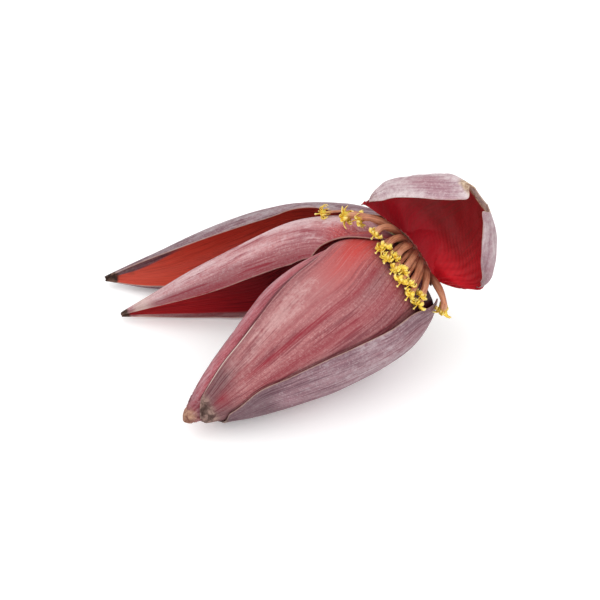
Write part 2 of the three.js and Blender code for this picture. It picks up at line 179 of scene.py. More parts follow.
def unit(v):
    return v / np.linalg.norm(v, axis=-1, keepdims=True)


def lerp(a, b, x):
    return a + (b - a) * x


def smooth(x, low, high):
    """0 below low, 1 above high, and the cubic 3x^2 - 2x^3 between."""
    x = np.clip((x - low) / (high - low), 0, 1)
    return x * x * (3 - 2 * x)


def falling(x, low, high):
    """1 below low and 0 above high."""
    return smooth(-x, -high, -low)


def spline(values, u):
    """A uniform Catmull-Rom curve through evenly spaced numbers or points, read at u."""
    p = np.asarray(values, float)
    p = np.concatenate([[2 * p[0] - p[1]], p, [2 * p[-1] - p[-2]]])
    last = len(p) - 3
    x = np.clip(np.asarray(u, float), 0, 1) * last
    i = np.minimum(x.astype(int), last - 1)
    f = x - i if p.ndim == 1 else (x - i)[..., None]
    a, b, c, d = p[i], p[i + 1], p[i + 2], p[i + 3]
    square = (2 * a - 5 * b + 4 * c - d) * f ** 2
    return (2 * b + (c - a) * f + square + (3 * b - a - 3 * c + d) * f ** 3) / 2


def eased(count):
    """Numbers from 0 to 1, crowded toward both ends as a cosine is."""
    return (1 - np.cos(np.pi * np.linspace(0, 1, count))) / 2


def turns(count, whole=2 * np.pi):
    """Even steps of a whole turn."""
    return np.linspace(0, whole, count, endpoint=False)


def ripple(a, b, seed, waves):
    """A smooth random wave: for each (cycles in a, cycles in b, height) three sines whose
    frequencies and phases vary about those by seeded chance."""
    chance = np.random.default_rng(seed)
    total = np.zeros(np.broadcast(a, b).shape)
    for cycles_a, cycles_b, height in waves:
        for _ in range(3):
            fa, fb = chance.uniform(0.6, 1.4, 2) * (cycles_a, cycles_b)
            phase = chance.uniform(0, 2 * np.pi)
            total += height / 2 * np.sin(2 * np.pi * (fa * a + fb * b) + phase)
    return total


def bell(x, at, width):
    """A bell curve, 1 at one value and near 0 two widths from it."""
    return np.exp(-((x - at) / width) ** 2)


def patch(u, v, at, size):
    """A soft round patch: a bell curve of the distance from a place, in patch sizes."""
    return np.exp(-((u - at[0]) / size[0]) ** 2 - ((v - at[1]) / size[1]) ** 2)


# ---- the bud's line ----------------------------------------------------------------

bud_line = BUD_TIP - BUD_BASE
bud_length = np.linalg.norm(bud_line)
forward = unit(bud_line)
front = unit(FACING - (FACING @ forward) * forward)
right = np.cross(front, forward)


def bud_point(t, phi, radius):
    """The point at a radius from the bud's line, which bows to its right."""
    t, phi, radius = np.broadcast_arrays(t, np.radians(phi), radius)
    bow = spline(BUD_BOW, t)
    t, phi, radius, bow = t[..., None], phi[..., None], radius[..., None], bow[..., None]
    centre = BUD_BASE + bud_line * t + right * bow
    return centre + radius * (np.cos(phi) * front + np.sin(phi) * right)


def layer_radius(t, layer):
    """The outside of a layer of bracts: the heart's outline plus the layers' thickness."""
    return spline(BUD_OUTLINE, t) + layer * (SHEET + GAP)


def sag(t, phi):
    """How far the belly sags: a squared sine along it times a squared cosine round it."""
    aside = np.clip(np.abs(phi - SAG["phi"]) / SAG["spread"], 0, 1)
    lengthwise = np.clip((t - SAG["from"]) / (SAG["to"] - SAG["from"]), 0, 1)
    return SAG["depth"] * (np.sin(np.pi * lengthwise) * np.cos(np.pi / 2 * aside)) ** 2


def bud_place(points):
    """How far along the bud's line points lie, and their offsets from it."""
    t = (points - BUD_BASE) @ forward / bud_length
    bow = spline(BUD_BOW, t)
    return t, points - BUD_BASE - bud_line * t[..., None] - right * bow[..., None]


def pushed_clear(points, layer, stalk):
    """Points pushed straight out until clear of the stalk and of the bud's layers."""
    t, away = bud_place(points)
    radius = np.linalg.norm(away, axis=-1)
    least = np.maximum(layer_radius(t, layer), stalk) if layer else np.full_like(t, stalk)
    least = np.where((t < STALK_REACH) | (t > 1), 0, least)
    push = np.maximum(least - radius, 0)
    return points + away / radius[..., None] * push[..., None]


# ---- bract surfaces: the outer face as a function of two parameters -----------------

def closed_place(spec, u, v):
    """Where a point of a closed bract lies: t runs with u, and phi between the two margins
    with v, narrowing by a quarter circle at the end."""
    t = lerp(spec["from"], spec["to"], u)
    end = np.maximum((u - 1 + spec["rounded"]) / spec["rounded"], 0)
    narrowing = np.maximum(np.sqrt(np.clip(1 - end ** 2, 0, 1)), spec["blunt"])
    start, stop = spline(spec["left"], u), spline(spec["right"], u)
    return t, (start + stop) / 2 + (stop - start) / 2 * narrowing * v


def closed_bract(spec, u, v):
    """A bract closed on the bud, at the radius of its layer, with its base flared."""
    t, phi = closed_place(spec, u, v)
    height, start, stop, before, after = spec["flare"]
    flare = height * np.maximum(1 - t / FLARE_REACH, 0) ** 2
    flare = flare * lerp(before, after, smooth(phi, start, stop))
    return bud_point(t, phi, layer_radius(t, spec["layer"]) + sag(t, phi) + flare)


def boat_bract(spec, u, v):
    """Arcs about a centre line, open to one side, that turn near the root into an arc
    round the stalk."""
    before = spline(spec["line"], np.maximum(u - STEP, 0))
    lengthwise = unit(spline(spec["line"], np.minimum(u + STEP, 1)) - before)
    mouth = spline(spec["opens"], u)
    mouth = unit(mouth - (mouth * lengthwise).sum(-1, keepdims=True) * lengthwise)
    sideways = np.cross(lengthwise, mouth)
    share = (v + 1) / 2
    angle = np.radians(lerp(spline(spec["low"], u), spline(spec["high"], u), share))[..., None]
    radius = spline(spec["radii"], u)[..., None]
    arc = radius * (np.sin(angle) * sideways - np.cos(angle) * mouth)
    root = spec["root"]
    rooted = bud_point(root["t"], lerp(root["from"], root["to"], share), ROOTED)
    blend = smooth(u, 0, ROOT_BLEND)[..., None]
    return pushed_clear(lerp(rooted, spline(spec["line"], u) + arc, blend), spec["layer"], ROOTED)


def hood_bract(u, v):
    """The bract bent right back: a bowl of arcs whose margins curl in, that turns near
    the root into the line where it was rooted."""
    out = unit(HOOD["out"])
    forth = unit(np.cross(out, right))
    across = np.cross(forth, out)
    side = smooth(v, -HOOD["sides_meet"], HOOD["sides_meet"])
    width = lerp(spline(HOOD["left_width"], u), spline(HOOD["right_width"], u), side)
    curl = np.radians(np.where(v < 0, -spline(HOOD["low"], u), spline(HOOD["high"], u)) * v)
    root = spline(HOOD["base"], (v + 1) / 2)
    d = HOOD["length"] * (1 - (1 - u) ** HOOD["forth_power"])
    d = d + root[..., 1] * (1 - u) ** HOOD["base_power"]
    s = width * np.sin(curl) + HOOD["skew"] * (u - 1) + HOOD["tip_aside"] * u ** 4
    z = spline(HOOD["height"], u) - spline(HOOD["depth"], u) * width * np.cos(curl)
    blend = smooth(u, 0, HOOD["blend"])
    s, z = lerp(root[..., 0], s, blend), lerp(root[..., 2], z, blend)
    points = HOOD["at"] + s[..., None] * across + d[..., None] * forth + z[..., None] * out
    return pushed_clear(points, 0, HOOD["clear"])


# ---- meshes ------------------------------------------------------------------------

def steps_along(points, axis):
    """The distance covered up to each point of a grid, along one of its axes."""
    step = np.linalg.norm(np.diff(points, axis=axis), axis=-1)
    start = np.zeros_like(np.take(step, [0], axis=axis))
    return np.concatenate([start, np.cumsum(step, axis=axis)], axis=axis)


def grid_normals(points):
    """Unit vectors across a grid, square to its rows and its columns."""
    return unit(np.cross(np.gradient(points, axis=0), np.gradient(points, axis=1)))


def quads(index):
    """The four-cornered faces of a grid of vertex numbers."""
    a, b = index[:-1, :-1], index[:-1, 1:]
    c, d = index[1:, 1:], index[1:, :-1]
    return np.stack([a, b, c, d], -1).reshape(-1, 4)


def outward(points, faces):
    """Faces turned so that the closed surface encloses a positive volume."""
    corners = points[faces]
    normal = np.cross(corners[:, 2] - corners[:, 0], corners[:, -1] - corners[:, 1])
    return faces if (corners.mean(1) * normal).sum() > 0 else faces[:, ::-1]


def filled(items, key, values, kind=np.float32):
    """Values given to a mesh's points, corners or faces all at once."""
    items.foreach_set(key, np.asarray(values, kind).ravel())


def mesh_piece(name, replaced, material, points, faces, caps, fields, fibre):
    """A piece from points in millimetres, four-cornered faces and three-cornered caps.
    fields are numbers kept at each point, and fibre is the UV map that patterns follow."""
    corners = np.concatenate([faces.ravel(), caps.ravel()])
    starts = np.concatenate([np.arange(len(faces)) * 4, faces.size + np.arange(len(caps)) * 3])
    mesh = bpy.data.meshes.new(name)
    mesh.vertices.add(len(points))
    filled(mesh.vertices, "co", points * MM)
    mesh.loops.add(len(corners))
    filled(mesh.loops, "vertex_index", corners, np.int32)
    mesh.polygons.add(len(starts))
    filled(mesh.polygons, "loop_start", starts, np.int32)
    mesh.update(calc_edges=True)
    mesh.validate()
    mesh.shade_smooth()
    loops = np.zeros(len(mesh.loops), np.int32)
    mesh.loops.foreach_get("vertex_index", loops)
    filled(mesh.uv_layers.new(name="fibre").data, "uv", fibre[loops] / FIBRE_UNIT)
    for key, values in fields.items():
        filled(mesh.attributes.new(key, "FLOAT", "POINT").data, "value", values)
    mesh.materials.append(material)
    piece = bpy.data.objects.new(name, mesh)
    bpy.context.scene.collection.objects.link(piece)
    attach(piece, "root")
    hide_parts(replaced)


def sheet_piece(node, material, grid, surface, hollow, waves, relief, folds, fields):
    """A bract as one closed sheet.  The outer face is surface(u, v), which turns its back
    to the point hollow, plus waves(u, v) along its normal.  The inner face lies under it by
    the thickness, and both meet in a half circle at the margins.  relief(u, v) raises the
    outer face alone, folds(u, v) the inner one, and fields(u, v) gives the numbers kept at
    each point."""
    rows, columns = grid
    u, v = np.meshgrid(eased(rows), 2 * eased(columns) - 1, indexing="ij")
    outer = surface(u, v)
    normal = grid_normals(outer)
    centre = rows // 2, columns // 2
    if normal[centre] @ (hollow - outer[centre]) > 0:
        normal = -normal
    outer = outer + normal * waves(u, v)[..., None]
    turned = grid_normals(outer)
    normal = turned * np.sign((turned * normal).sum(-1, keepdims=True))
    thickness = SHEET * (1 - EDGE_THINNING * v ** 4) * (1 - POINT_THINNING * u ** 2)
    across, along = steps_along(outer, 1), steps_along(outer, 0)
    margin = np.minimum(across, across[:, -1:] - across)
    end = np.minimum(along, along[-1:] - along)

    def rounding(distance):
        x = np.clip(1 - distance / (thickness / 2), 0, 1)
        return np.sqrt(1 - x ** 2)

    half = thickness / 2 * rounding(margin) * rounding(end)
    middle = outer - normal * thickness[..., None] / 2
    inland = smooth(np.minimum(margin, end), 0, RELIEF_FADE)
    top = middle + normal * (half + relief(u, v) * inland)[..., None]
    under = middle - normal * (half + folds(u, v) * inland)[..., None]
    top[..., 2] = np.maximum(top[..., 2], 0)
    under[..., 2] = np.maximum(under[..., 2], thickness)

    index = np.arange(u.size).reshape(u.shape)
    below = index.copy()
    below[1:-1, 1:-1] = u.size + np.arange(u[1:-1, 1:-1].size).reshape(u[1:-1, 1:-1].shape)
    points = np.concatenate([top.reshape(-1, 3), under[1:-1, 1:-1].reshape(-1, 3)])
    faces = np.concatenate([quads(index), quads(below)[:, ::-1]])

    def both(values):
        return np.concatenate([values.ravel(), values[1:-1, 1:-1].ravel()])

    rim = np.full(u.shape, 0.5)
    rim[1:-1, 1:-1] = 0
    inside = np.concatenate([rim.ravel(), np.ones(len(points) - u.size)])
    widest = across[:, -1].max() / 2
    fibre = np.stack([both(v * widest), both(along)], -1)
    kept = {"inside": inside, "margin": both(np.minimum(margin, end)),
            **{key: both(value) for key, value in fields(u, v).items()}}
    no_caps = np.zeros((0, 3), int)
    mesh_piece(node + "_sheet", node, material, points, outward(points, faces), no_caps,
               kept, fibre)


def loft(rings):
    """Points, faces and caps of a closed solid through rings of points."""
    count, sides, _ = rings.shape
    body = np.arange(count * sides).reshape(count, sides)
    body = np.concatenate([body, body[:, :1]], axis=1)
    points = np.concatenate([rings.reshape(-1, 3), rings[[0, -1]].mean(1)])
    first = np.stack([body[0, 1:], body[0, :-1], np.full(sides, count * sides)], -1)
    last = np.stack([body[-1, :-1], body[-1, 1:], np.full(sides, count * sides + 1)], -1)
    faces, caps = quads(body), np.concatenate([first, last])
    if (outward(points, faces) != faces).any():
        faces, caps = faces[:, ::-1], caps[:, ::-1]
    return points, faces, caps


def solids_piece(name, node, material, solids):
    """One piece from several closed solids, each given as (rings, fields), where a field
    is a number for each point, for each ring or for all.  The fibre map runs round and
    along."""
    points, faces, caps, fibre, kept = [], [], [], [], {}
    start = 0
    for rings, fields in solids:
        count, sides, _ = rings.shape
        p, f, c = loft(rings)
        points.append(p)
        faces.append(f + start)
        caps.append(c + start)
        start += len(p)
        along = steps_along(rings, 0)[:, 0]
        round_ = steps_along(rings, 1)
        turn = np.minimum(round_, round_[:, -1:] - round_)
        sheet = np.stack([turn, np.broadcast_to(along[:, None], turn.shape)], -1)
        ends = np.array([[0, along[0]], [0, along[-1]]])
        fibre.append(np.concatenate([sheet.reshape(-1, 2), ends]))
        for key, value in fields.items():
            value = np.asarray(value, float)
            value = value if value.ndim == 2 else value.reshape(-1, 1)
            value = np.broadcast_to(value, (count, sides))
            spread = np.concatenate([value.ravel(), value[[0, -1], 0]])
            kept.setdefault(key, []).append(spread)
    kept = {key: np.concatenate(values) for key, values in kept.items()}
    points, faces, caps, fibre = [np.concatenate(x) for x in (points, faces, caps, fibre)]
    mesh_piece(name, node, material, points, faces, caps, kept, fibre)


# ---- node graphs -------------------------------------------------------------------

def linear(colour):
    """A colour written as it looks on a screen, 0 to 255, as the shader's linear values.
    A colour that another node gives stays as it is."""
    if isinstance(colour, bpy.types.NodeSocket):
        return colour
    c = np.array(colour) / 255
    c = np.where(c <= 0.04045, c / 12.92, ((c + 0.055) / 1.055) ** 2.4)
    return (*c.tolist(), 1.0)


class Graph:
    """Adds nodes to a node tree and links them."""

    def __init__(self, tree):
        self.tree = tree

    def feed(self, socket, value):
        if isinstance(value, bpy.types.NodeSocket):
            self.tree.links.new(value, socket)
        else:
            socket.default_value = value

    def node(self, kind, inputs=None, **settings):
        made = self.tree.nodes.new(kind)
        for key, value in settings.items():
            setattr(made, key, value)
        for key, value in (inputs or {}).items():
            self.feed(made.inputs[key], value)
        return made

    def math(self, operation, a, b, clamp=False):
        made = self.node("ShaderNodeMath", {0: a, 1: b}, operation=operation, use_clamp=clamp)
        return made.outputs[0]

    def times(self, value, *others, clamp=False):
        for other in others:
            value = self.math("MULTIPLY", value, other, clamp)
        return value

    def plus(self, value, *others):
        for other in others:
            value = self.math("ADD", value, other)
        return value

    def laid_over(self, colour, *layers):
        """A colour with others laid over it in turn, each given as (mask, colour)."""
        for mask, over in layers:
            inputs = {0: mask, 6: linear(colour), 7: linear(over)}
            colour = self.node("ShaderNodeMix", inputs, data_type="RGBA").outputs[2]
        return colour

    def between(self, value, low, high, to_low=0.0, to_high=1.0):
        """A value taken smoothly from low..high to to_low..to_high."""
        inputs = {0: value, 1: low, 2: high, 3: to_low, 4: to_high}
        made = self.node("ShaderNodeMapRange", inputs, interpolation_type="SMOOTHSTEP")
        return made.outputs[0]

    def moved(self, vector, x, y, z):
        shift = self.node("ShaderNodeCombineXYZ", {0: x, 1: y, 2: z}).outputs[0]
        return self.node("ShaderNodeVectorMath", {0: vector, 1: shift}).outputs[0]

    def noise(self, vector, scale, detail, roughness, distortion=0.0):
        inputs = {"Vector": vector, "Scale": scale, "Detail": detail,
                  "Roughness": roughness, "Distortion": distortion}
        return self.node("ShaderNodeTexNoise", inputs).outputs["Fac"]

    def drawn_out(self, vector, scales, detail, roughness=0.55, shift=(0, 0, 0), distortion=0.0):
        """Noise with a scale of its own along each axis, which draws it out into fibres."""
        inputs = {"Vector": vector, "Location": shift, "Scale": scales}
        stretched = self.node("ShaderNodeMapping", inputs).outputs[0]
        return self.noise(stretched, 1.0, detail, roughness, distortion)

    def kept(self, name):
        """A number kept at the points of the mesh."""
        return self.node("ShaderNodeAttribute", attribute_name=name).outputs["Fac"]

    def fibre(self):
        return self.node("ShaderNodeUVMap", uv_map="fibre").outputs[0]

    def object(self):
        return self.node("ShaderNodeTexCoord").outputs["Object"]

    def placed(self, tree, **values):
        """A node group placed here, with its inputs set."""
        made = self.node("ShaderNodeGroup", node_tree=tree)
        for key, value in values.items():
            self.feed(made.inputs[key], value)
        return made.outputs


def group(name, inputs, outputs, build):
    """A node group whose named number sockets are inputs and outputs."""
    tree = bpy.data.node_groups.new(name, "ShaderNodeTree")
    for socket, default in inputs.items():
        made = tree.interface.new_socket(socket, in_out="INPUT", socket_type="NodeSocketFloat")
        made.default_value = default
    for socket in outputs:
        tree.interface.new_socket(socket, in_out="OUTPUT", socket_type="NodeSocketFloat")
    graph = Graph(tree)
    results = build(graph, graph.node("NodeGroupInput").outputs)
    end = graph.node("NodeGroupOutput")
    for socket, value in results.items():
        graph.feed(end.inputs[socket], value)
    return tree


def build_fibres(g, given):
    """Lengthwise markings: noise stretched along the fibre map at four finenesses, drifting
    sideways a little as real fibres do.  The strokes gather in places."""
    fibre = g.fibre()
    drift = g.times(g.drawn_out(fibre, (3, 1.2, 1), 2), 0.012)
    fibre = g.moved(fibre, drift, 0.0, given["Seed"])
    broad = g.drawn_out(fibre, (20, 1.2, 1), 3, 0.6)
    gathered = g.drawn_out(fibre, (8, 3, 1), 2, shift=(3, 7, 0))
    strokes = g.drawn_out(fibre, (50, 1.8, 1), 4, 0.62, (1, 5, 0))
    lines = g.drawn_out(fibre, (105, 2.6, 1), 3, 0.7)
    pale = g.drawn_out(fibre, (85, 3.2, 1), 4, 0.65, (9, 2, 0))
    stroke_level = g.plus(strokes, g.times(g.math("SUBTRACT", gathered, 0.5), 0.5))
    return {
        "Streaks": g.between(broad, 0.44, 0.64),
        "Strokes": g.between(stroke_level, 0.5, 0.68),
        "Lines": g.between(lines, 0.45, 0.64),
        "Pale": g.between(pale, 0.52, 0.7),
        "Height": g.plus(g.times(strokes, 0.5), g.times(lines, 0.5)),
    }


def build_bloom(g, given):
    """The pale waxy bloom: long patches, broken up by smaller rubbed spots and by fine
    grains, that cover more where Cover is high."""
    place = g.moved(g.object(), given["Seed"], 0.0, 0.0)
    patches = g.drawn_out(g.fibre(), (9, 3.2, 1), 4, 0.6, (4, 1, 0), 0.3)
    rubbed = g.noise(place, 230, 4, 0.7, 0.5)
    grains = g.noise(place, 640, 3, 0.75)
    broken = g.plus(g.times(rubbed, 0.55), g.times(grains, 0.5))
    level = g.plus(g.times(patches, 0.6), broken, -0.825, given["Cover"])
    return {"Mask": g.between(level, 0.42, 0.7), "Grains": grains}


def build_dry_margin(g, given):
    """The dry margin: 1 at the very edge, fading over Width millimetres, unevenly."""
    ragged = g.noise(g.fibre(), 26, 4, 0.65)
    width = g.times(given["Width"], g.between(ragged, 0.3, 0.7, 0.3, 1.7))
    far = g.math("DIVIDE", g.kept("margin"), width)
    return {"Mask": g.math("SUBTRACT", 1.0, far, clamp=True)}


FIBRES = group("lengthwise_fibres", {"Seed": 0.0},
               ["Streaks", "Strokes", "Lines", "Pale", "Height"], build_fibres)
BLOOM = group("waxy_bloom", {"Cover": 0.5, "Seed": 0.0}, ["Mask", "Grains"], build_bloom)
DRY_MARGIN = group("dry_margin", {"Width": 1.0}, ["Mask"], build_dry_margin)


# ---- finishes ------------------------------------------------------------------------

# The outside's base, deep, vein and bloom colours, the inside's base, deep and bright
# ones, and the dark and the light of its bark, all as they look on a screen.
DRIED = [(34, 24, 22), (112, 84, 72)]
SKINS = {
    "bract_top_skin": {
        "outer": [(174, 110, 111), (140, 66, 72), (112, 46, 56), (206, 164, 162)],
        "inner": [(170, 34, 40), (110, 10, 24), (190, 60, 50)],
        "bark": [(84, 62, 56), (160, 130, 120)]},
    "bract_right_skin": {
        "outer": [(158, 118, 127), (116, 74, 88), (94, 56, 70), (214, 200, 204)],
        "inner": [(120, 14, 26), (70, 4, 16), (160, 30, 36)],
        "bark": [(84, 66, 60), (160, 140, 130)]},
    "bract_near_skin": {
        "outer": [(196, 136, 138), (158, 84, 92), (136, 60, 72), (226, 202, 204)],
        "inner": [(200, 44, 52), (92, 10, 24), (210, 56, 56)], "bark": DRIED},
    "bract_far_skin": {
        "outer": [(150, 110, 117), (112, 72, 84), (96, 56, 70), (204, 194, 197)],
        "inner": [(226, 88, 70), (130, 24, 34), (238, 104, 80)], "bark": DRIED},
    "bract_hood_skin": {
        "outer": [(180, 144, 152), (138, 96, 110), (128, 86, 100), (230, 220, 220)],
        "inner": [(160, 6, 26), (126, 28, 28), (208, 22, 36)],
        "bark": [(128, 88, 68), (214, 190, 164)],
        "streaks": 0.5, "strokes": 0.4, "lines": 0.3, "pale": 0.2},
    "inner_bud_skin": {
        "outer": [(180, 96, 104), (146, 54, 66), (120, 40, 54), (196, 156, 162)],
        "inner": [(150, 30, 36), (110, 14, 28), (190, 60, 50)],
        "bark": [(116, 72, 58), (186, 146, 122)]},
}
# The dark (62, 16, 26) is painted shadow, laid beside overlapping margins and under the flowers.
MARKS = {"blush": (196, 58, 52), "dusk": (88, 68, 72), "red": (138, 30, 46),
         "painted_shadow": (62, 16, 26), "hem": (226, 206, 194), "dry_edge": (182, 152, 138)}


def shader_of(name):
    material = bpy.data.materials.new(name)
    material.use_nodes = True
    return material, Graph(material.node_tree), material.node_tree.nodes["Principled BSDF"]


def finish(g, shader, colour, rough, height, strength, distance):
    """Colour, roughness, and relief of a strength and a distance in metres."""
    g.feed(shader.inputs["Base Color"], colour)
    g.feed(shader.inputs["Roughness"], rough)
    bump = {"Height": height, "Strength": strength, "Distance": distance}
    g.feed(shader.inputs["Normal"], g.node("ShaderNodeBump", bump).outputs[0])


def bract_material(name, seed, outer, inner, bark, streaks=0.6, strokes=0.7, lines=0.4,
                   pale=0.3):
    """A bract.  Streaks, strokes, lines and pale lines follow the fibres.  On the outside
    the kept fields "blush", "red" and "dusk" (on the top bract partly a painted shade) lay
    those marks on, and "painted_shadow" lays on a painted shadow where an overlapping bract
    or the flowers shade the surface; "bloom" spreads the wax and "calm" stills the fine
    markings.  "deep" and "bright" change the inside, and on the hood "bright" is partly a
    painted sheen; "turned" shows the outside's colours there, and "hem" pales the outside's
    edge.  Bark shows where "dry" is kept, and every margin is a little dried."""
    material, g, shader = shader_of(name)
    base, deep, vein, wax_colour = outer
    inner_base, inner_deep, inner_bright = inner
    fibres = g.placed(FIBRES, Seed=seed)
    wax = g.placed(BLOOM, Cover=g.kept("bloom"), Seed=seed)
    dry_edge = g.placed(DRY_MARGIN, Width=0.9)["Mask"]
    ragged = g.noise(g.object(), 160, 4, 0.7, 0.8)
    broken = g.between(fibres["Strokes"], 0, 1, 0.7, 1.25)
    lively = g.between(g.kept("calm"), 0, 1, 1, 0)
    bare = g.times(g.between(wax["Mask"], 0, 1, 1, 0.45), lively)

    outside = g.laid_over(
        base,
        (g.times(fibres["Streaks"], streaks, lively), deep),
        (g.times(g.kept("blush"), g.between(fibres["Lines"], 0, 1, 1, 0.75)), MARKS["blush"]),
        (g.times(wax["Mask"], 0.7), wax_colour),
        (g.times(fibres["Pale"], pale), wax_colour),
        (g.times(g.between(wax["Grains"], 0.34, 0.48, 0.45, 0), lively), wax_colour),
        (g.times(g.kept("dusk"), broken, clamp=True), MARKS["dusk"]),
        (g.times(fibres["Strokes"], strokes, bare), vein),
        (g.times(fibres["Lines"], lines, bare), vein),
        (g.times(g.between(wax["Grains"], 0.5, 0.68, 0, 0.4), lively), vein),
        (g.times(g.kept("red"), broken, clamp=True), MARKS["red"]))
    within = g.laid_over(
        inner_base,
        (g.times(fibres["Lines"], 0.35), inner_deep),
        (g.times(fibres["Strokes"], 0.3), inner_deep),
        (g.kept("bright"), inner_bright),
        (g.times(g.kept("deep"), broken, clamp=True), inner_deep))
    inward = g.between(g.kept("inside"), 0.4, 0.6)
    inward = g.math("SUBTRACT", inward, g.kept("turned"), clamp=True)
    dried = g.between(g.plus(g.kept("dry"), g.times(ragged, 0.5)), 0.55, 1)
    colour = g.laid_over(
        outside,
        (inward, within),
        (g.times(dry_edge, 0.6), MARKS["dry_edge"]),
        # Painted shadow: dark where an overlapping bract or the flowers shade the surface.
        (g.kept("painted_shadow"), MARKS["painted_shadow"]),
        (g.times(g.kept("hem"), g.math("SUBTRACT", 1.0, inward)), MARKS["hem"]),
        (dried, g.laid_over(bark[0], (g.between(ragged, 0.35, 0.65), bark[1]))))
    rough = g.plus(0.46, g.times(wax["Mask"], 0.2), g.times(dried, 0.2))
    height = g.plus(g.times(fibres["Height"], 0.8), g.times(wax["Grains"], 0.3),
                    g.times(ragged, dried, 1.6))
    finish(g, shader, colour, rough, height, 0.6, 0.0006)
    shader.inputs["Specular IOR Level"].default_value = 0.22
    return material


def flower_material():
    """A flower's tube: tan, redder and darker toward its root as a painted shade where the
    tubes crowd together, darker where "shade" is kept, and yellow to its end."""
    material, g, shader = shader_of("flower_tube")
    along = g.kept("along")
    ridges = g.drawn_out(g.fibre(), (120, 6, 1), 3, 0.6)
    tone = g.noise(g.object(), 90, 3, 0.6)
    colour = g.laid_over(
        (204, 132, 96),
        (g.between(ridges, 0.35, 0.65), (144, 78, 56)),
        (g.between(tone, 0.4, 0.65, 0, 0.5), (214, 156, 122)),
        # Painted shade: redder and darker toward the root, where the tubes crowd together.
        (g.between(along, 0, 0.5, 0.8, 0), (112, 44, 36)),
        (g.kept("shade"), (96, 48, 30)),
        (g.between(along, 0.86, 1), (226, 186, 92)))
    finish(g, shader, colour, g.between(ridges, 0.3, 0.7, 0.42, 0.6), ridges, 0.5, 0.0004)
    return material


def tip_material():
    """The flowers' curled lobes and styles: yellow, paler at their ends."""
    material, g, shader = shader_of("flower_tip")
    tone = g.noise(g.object(), 420, 3, 0.6)
    colour = g.laid_over(
        (232, 186, 48),
        (g.between(tone, 0.35, 0.65), (248, 224, 92)),
        (g.between(g.kept("along"), 0.6, 1, 0, 0.5), (250, 236, 176)))
    finish(g, shader, colour, g.between(tone, 0.3, 0.7, 0.45, 0.6), tone, 0.4, 0.0003)
    shader.inputs["Subsurface Weight"].default_value = 0.15
    shader.inputs["Subsurface Radius"].default_value = (0.002, 0.0015, 0.0006)
    return material


def stalk_material():
    """The stalk: pale green skin with brown scars, and a cream cut end with dark dots
    where its vessels were cut."""
    material, g, shader = shader_of("stalk_skin")
    lines = g.drawn_out(g.fibre(), (70, 2, 1), 3, 0.6)
    blotch = g.noise(g.object(), 60, 4, 0.6)
    dots = {"Vector": g.object(), "Scale": 420.0}
    dots = g.node("ShaderNodeTexVoronoi", dots).outputs["Distance"]
    cut = g.laid_over(
        (120, 86, 56),
        (g.between(dots, 0, 0.32), (216, 204, 164)),
        (g.between(blotch, 0.45, 0.75), (170, 130, 84)))
    colour = g.laid_over(
        (172, 164, 110),
        (g.between(lines, 0.35, 0.65), (128, 124, 78)),
        (g.between(blotch, 0.5, 0.72), (120, 92, 62)),
        (g.kept("scar"), (104, 76, 52)),
        (g.kept("cut"), cut))
    height = g.plus(lines, g.times(dots, g.kept("cut")))
    finish(g, shader, colour, g.between(blotch, 0.3, 0.7, 0.5, 0.75), height, 0.6, 0.0007)
    return material


LOOKS = {name: bract_material(name, float(seed), **skin)
         for seed, (name, skin) in enumerate(SKINS.items(), 1)}
FLOWER_LOOK = flower_material()
TIP_LOOK = tip_material()
STALK_LOOK = stalk_material()


# ---- flowers -----------------------------------------------------------------------

def bud_path(place, t0, root):
    """The path of a flower that rises from the stalk and lies along the bud."""
    phi0, t1, phi1, radius1, arch, _ = place

    def path(u):
        rise = np.sin(u * np.pi / 2) ** TUBE["rise"]
        away = lerp(root, radius1, rise) + arch * np.sin(np.pi * u)
        return bud_point(lerp(t0, t1, u), lerp(phi0, phi1, u ** TUBE["turn"]), away)

    return path


def back_path(place):
    """The path of a flower that rises from the stalk and lies along the near bract, above
    it by the lift along its normal."""
    phi0, end, start_v, end_v = place
    root = bud_point(FAR_HAND["t"], phi0, UPPER_FLOWER["root"])
    hollow = spline(NEAR_BRACT["line"], 0.5)

    def path(share):
        u, v = lerp(FAR_HAND["start"], end, share), lerp(start_v, end_v, share)
        back = boat_bract(NEAR_BRACT, u, v)
        lengthwise = boat_bract(NEAR_BRACT, u + STEP, v) - boat_bract(NEAR_BRACT, u - STEP, v)
        crosswise = boat_bract(NEAR_BRACT, u, v + STEP) - boat_bract(NEAR_BRACT, u, v - STEP)
        normal = unit(np.cross(lengthwise, crosswise))
        normal = normal * np.sign((normal * (back - hollow)).sum(-1, keepdims=True))
        return lerp(root, back + normal * FAR_HAND["lift"], smooth(share, 0, 0.5)[..., None])

    return path


def frames(points):
    """Unit vectors along a path and two across it, carried along without twisting."""
    lengthwise = unit(np.gradient(points, axis=0))
    sideways, last = [], right
    for direction in lengthwise:
        last = unit(last - (last @ direction) * direction)
        sideways.append(last)
    sideways = np.array(sideways)
    return lengthwise, sideways, np.cross(lengthwise, sideways)


def tube(points, radius, sides, ribs=0.0, turn=0.0):
    """Rings about a path, whose radius has low ribs round it."""
    _, sideways, upward = frames(points)
    angle = turns(sides)
    wide = radius[:, None] * (1 + ribs * np.cos(TUBE["ribs"] * angle + turn))
    x, y = wide * np.cos(angle), wide * np.sin(angle)
    return points[:, None] + x[..., None] * sideways[:, None] + y[..., None] * upward[:, None]


